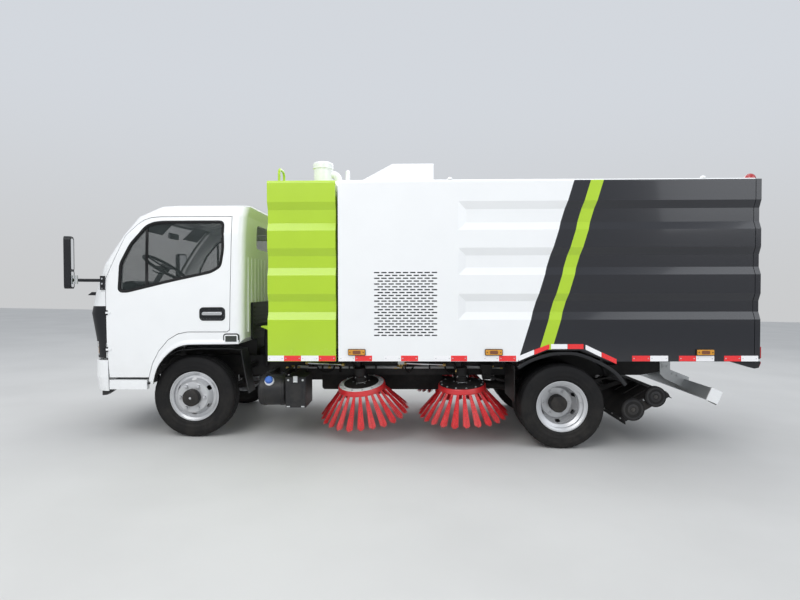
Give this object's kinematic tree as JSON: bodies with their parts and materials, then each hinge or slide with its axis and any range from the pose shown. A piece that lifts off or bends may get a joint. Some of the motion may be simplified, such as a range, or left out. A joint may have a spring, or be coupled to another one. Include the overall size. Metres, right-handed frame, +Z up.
{
  "type": "street sweeper truck",
  "caption": "Cab-over street sweeper truck with a tipping hopper, rear tailgate, side brushes on swing arms and a raised suction nozzle behind the rear axle.",
  "frame": {"origin": "on the ground, at the middle of the truck's box", "axes": "+X toward the rear, +Y to the truck's right, +Z up; the body leans 1.1 degrees nose-down on its unladen springs"},
  "size_m": [6.0122, 2.4706, 2.5789],
  "materials": {
    "white_paint": "gloss",
    "lime_paint": "gloss",
    "dark_paint": "gloss",
    "black_steel": "satin",
    "zinc_steel": "matte",
    "silver_paint": "satin",
    "axle_iron": "matte",
    "chromed_rod": "polished",
    "tyre_rubber": "matte",
    "black_plastic": "matte",
    "caster_rubber": "matte",
    "window_glass": "clear",
    "lamp_glass": "clear",
    "lamp_red": "clear",
    "seat_cloth": "woven",
    "brush_red": "satin"
  },
  "bodies": {
    "chassis": {"frame": "black_steel", "cross_members": "black_steel", "subframe": "black_steel", "frame_brackets": "black_steel", "front_axle": "axle_iron", "rear_axle": "axle_iron", "leaf_springs": "black_steel", "main_engine": "axle_iron", "aux_engine": "axle_iron", "side_tanks": "black_plastic", "water_tank": "lime_paint", "climbing_aids": "lime_paint", "intake_drum": "white_paint", "mudguards": "black_plastic", "rear_guard": "zinc_steel", "guard_ends": "white_paint"},
    "cab": {"cab_shell": "white_paint", "front_panel": "black_plastic", "cab_glass": "window_glass", "dashboard": "black_plastic", "seats": "seat_cloth", "headlamps": "lamp_glass", "mirrors": "black_plastic", "bumper": "white_paint", "side_steps": "white_paint"},
    "steering_wheel": {"steering_wheel": "black_plastic"},
    "hopper": {"hopper": "white_paint", "roof_fittings": "white_paint", "rear_beacons": "lamp_red", "tail_lamps": "black_plastic"},
    "tailgate": {"tailgate": "dark_paint"},
    "lift_barrels": {"lift_barrels": "black_steel"},
    "lift_rods": {"lift_rods": "chromed_rod"},
    "nozzle_arms": {"nozzle_arms": "black_steel"},
    "nozzle": {"nozzle": "black_steel"},
    "nozzle_wheels_front": {"nozzle_wheels_front": "caster_rubber"},
    "nozzle_wheels_rear": {"nozzle_wheels_rear": "caster_rubber"},
    "door_left": {"door_left": "white_paint", "door_glass_left": "window_glass"},
    "knuckle_left": {"knuckle_left": "axle_iron"},
    "wheel_front_left": {"tyre_front_left": "tyre_rubber", "rim_front_left": "silver_paint"},
    "wheels_rear_left": {"tyres_rear_left": "tyre_rubber", "rims_rear_left": "silver_paint"},
    "brush_arm_front_left": {"brush_arm_front_left": "black_steel"},
    "brush_front_left": {"brush_front_left": "brush_red"},
    "brush_arm_rear_left": {"brush_arm_rear_left": "black_steel"},
    "brush_rear_left": {"brush_rear_left": "brush_red"},
    "door_right": {"door_right": "white_paint", "door_glass_right": "window_glass"},
    "knuckle_right": {"knuckle_right": "axle_iron"},
    "wheel_front_right": {"tyre_front_right": "tyre_rubber", "rim_front_right": "silver_paint"},
    "wheels_rear_right": {"tyres_rear_right": "tyre_rubber", "rims_rear_right": "silver_paint"},
    "brush_arm_front_right": {"brush_arm_front_right": "black_steel"},
    "brush_front_right": {"brush_front_right": "brush_red"},
    "brush_arm_rear_right": {"brush_arm_rear_right": "black_steel"},
    "brush_rear_right": {"brush_rear_right": "brush_red"}
  },
  "joints": [
    {"name": "steer_left", "type": "hinge", "parent": "chassis", "child": "knuckle_left", "pos_m": [-1.97666, -0.65, 0.372], "axis": [-0.0192, 0, 0.9998], "range_deg": [-35, 35]},
    {"name": "wheel_front_left_spin", "type": "hinge", "parent": "knuckle_left", "child": "wheel_front_left", "pos_m": [-1.97666, -0.7515, 0.372], "axis": [0, 1, 0], "continuous": true},
    {"name": "wheels_rear_left_spin", "type": "hinge", "parent": "chassis", "child": "wheels_rear_left", "pos_m": [1.33194, -0.747, 0.372], "axis": [0, 1, 0], "continuous": true},
    {"name": "door_left_open", "type": "hinge", "parent": "cab", "child": "door_left", "pos_m": [-2.7325, -0.942, 1.08563], "axis": [0.0192, 0, -0.9998], "range_deg": [0, 70]},
    {"name": "steer_right", "type": "hinge", "parent": "chassis", "child": "knuckle_right", "pos_m": [-1.97666, 0.65, 0.372], "axis": [-0.0192, 0, 0.9998], "range_deg": [-35, 35]},
    {"name": "wheel_front_right_spin", "type": "hinge", "parent": "knuckle_right", "child": "wheel_front_right", "pos_m": [-1.97666, 0.7515, 0.372], "axis": [0, 1, 0], "continuous": true},
    {"name": "wheels_rear_right_spin", "type": "hinge", "parent": "chassis", "child": "wheels_rear_right", "pos_m": [1.33194, 0.747, 0.372], "axis": [0, 1, 0], "continuous": true},
    {"name": "door_right_open", "type": "hinge", "parent": "cab", "child": "door_right", "pos_m": [-2.7325, 0.942, 1.08563], "axis": [-0.0192, 0, 0.9998], "range_deg": [0, 70]},
    {"name": "cab_tilt", "type": "hinge", "parent": "chassis", "child": "cab", "pos_m": [-2.78358, 0, 0.72458], "axis": [0, -1, 0], "range_deg": [0, 45]},
    {"name": "steering_wheel_turn", "type": "hinge", "parent": "cab", "child": "steering_wheel", "pos_m": [-2.41539, -0.48, 1.5518], "axis": [0.5284, 0, 0.849], "range_deg": [-632, 632]},
    {"name": "hopper_tip", "type": "hinge", "parent": "chassis", "child": "hopper", "pos_m": [2.41479, 0, 0.85937], "axis": [0, 1, 0], "range_deg": [0, 45]},
    {"name": "tailgate_open", "type": "hinge", "parent": "hopper", "child": "tailgate", "pos_m": [2.93581, 0, 2.40066], "axis": [0, -1, 0], "range_deg": [0, 75]},
    {"name": "lift_barrel_swing", "type": "hinge", "parent": "chassis", "child": "lift_barrels", "pos_m": [0.43851, 0, 0.6464], "axis": [0, -1, 0], "range_deg": [0, 21.57]},
    {"name": "lift_rod_slide", "type": "slide", "parent": "lift_barrels", "child": "lift_rods", "axis": [0.9935, 0, 0.1136], "range_m": [0, 0.3522]},
    {"name": "brush_arm_front_left_swing", "type": "hinge", "parent": "chassis", "child": "brush_arm_front_left", "pos_m": [-0.95319, -0.49, 0.6697], "axis": [0.0192, 0, -0.9998], "range_deg": [0, 20]},
    {"name": "brush_front_left_spin", "type": "hinge", "parent": "brush_arm_front_left", "child": "brush_front_left", "pos_m": [-0.46682, -0.64, 0.499], "axis": [-0.1058, -0.2071, 0.9726], "continuous": true},
    {"name": "brush_arm_front_right_swing", "type": "hinge", "parent": "chassis", "child": "brush_arm_front_right", "pos_m": [-0.95319, 0.49, 0.6697], "axis": [-0.0192, 0, 0.9998], "range_deg": [0, 20]},
    {"name": "brush_front_right_spin", "type": "hinge", "parent": "brush_arm_front_right", "child": "brush_front_right", "pos_m": [-0.46682, 0.64, 0.499], "axis": [-0.1058, 0.2071, 0.9726], "continuous": true},
    {"name": "brush_arm_rear_left_swing", "type": "hinge", "parent": "chassis", "child": "brush_arm_rear_left", "pos_m": [-0.00936, -0.49, 0.68781], "axis": [0.0192, 0, -0.9998], "range_deg": [0, 20]},
    {"name": "brush_rear_left_spin", "type": "hinge", "parent": "brush_arm_rear_left", "child": "brush_rear_left", "pos_m": [0.477, -0.64, 0.51712], "axis": [-0.054, -0.1131, 0.9921], "continuous": true},
    {"name": "brush_arm_rear_right_swing", "type": "hinge", "parent": "chassis", "child": "brush_arm_rear_right", "pos_m": [-0.00936, 0.49, 0.68781], "axis": [-0.0192, 0, 0.9998], "range_deg": [0, 20]},
    {"name": "brush_rear_right_spin", "type": "hinge", "parent": "brush_arm_rear_right", "child": "brush_rear_right", "pos_m": [0.477, 0.64, 0.51712], "axis": [-0.054, 0.1131, 0.9921], "continuous": true},
    {"name": "nozzle_arms_lower", "type": "hinge", "parent": "chassis", "child": "nozzle_arms", "pos_m": [1.76845, 0, 0.40188], "axis": [0, 1, 0], "range_deg": [0, 59]},
    {"name": "nozzle_level", "type": "hinge", "parent": "nozzle_arms", "child": "nozzle", "pos_m": [2.09128, 0, 0.5181], "axis": [0, 1, 0], "range_deg": [-31, 0]},
    {"name": "nozzle_wheels_front_spin", "type": "hinge", "parent": "nozzle", "child": "nozzle_wheels_front", "pos_m": [1.96253, 0, 0.35401], "axis": [0, 1, 0], "continuous": true},
    {"name": "nozzle_wheels_rear_spin", "type": "hinge", "parent": "nozzle", "child": "nozzle_wheels_rear", "pos_m": [2.15776, 0, 0.47178], "axis": [0, 1, 0], "continuous": true}
  ],
  "couplings": [
    {"joint": "steer_right", "follows": "steer_left", "ratio": 1},
    {"joint": "steering_wheel_turn", "follows": "steer_left", "ratio": 18},
    {"joint": "lift_barrel_swing", "follows": "hopper_tip", "ratio": 0.47819},
    {"joint": "lift_rod_slide", "follows": "hopper_tip", "m_per_rad": 0.44717},
    {"joint": "nozzle_level", "follows": "nozzle_arms_lower", "ratio": -0.49153}
  ]
}
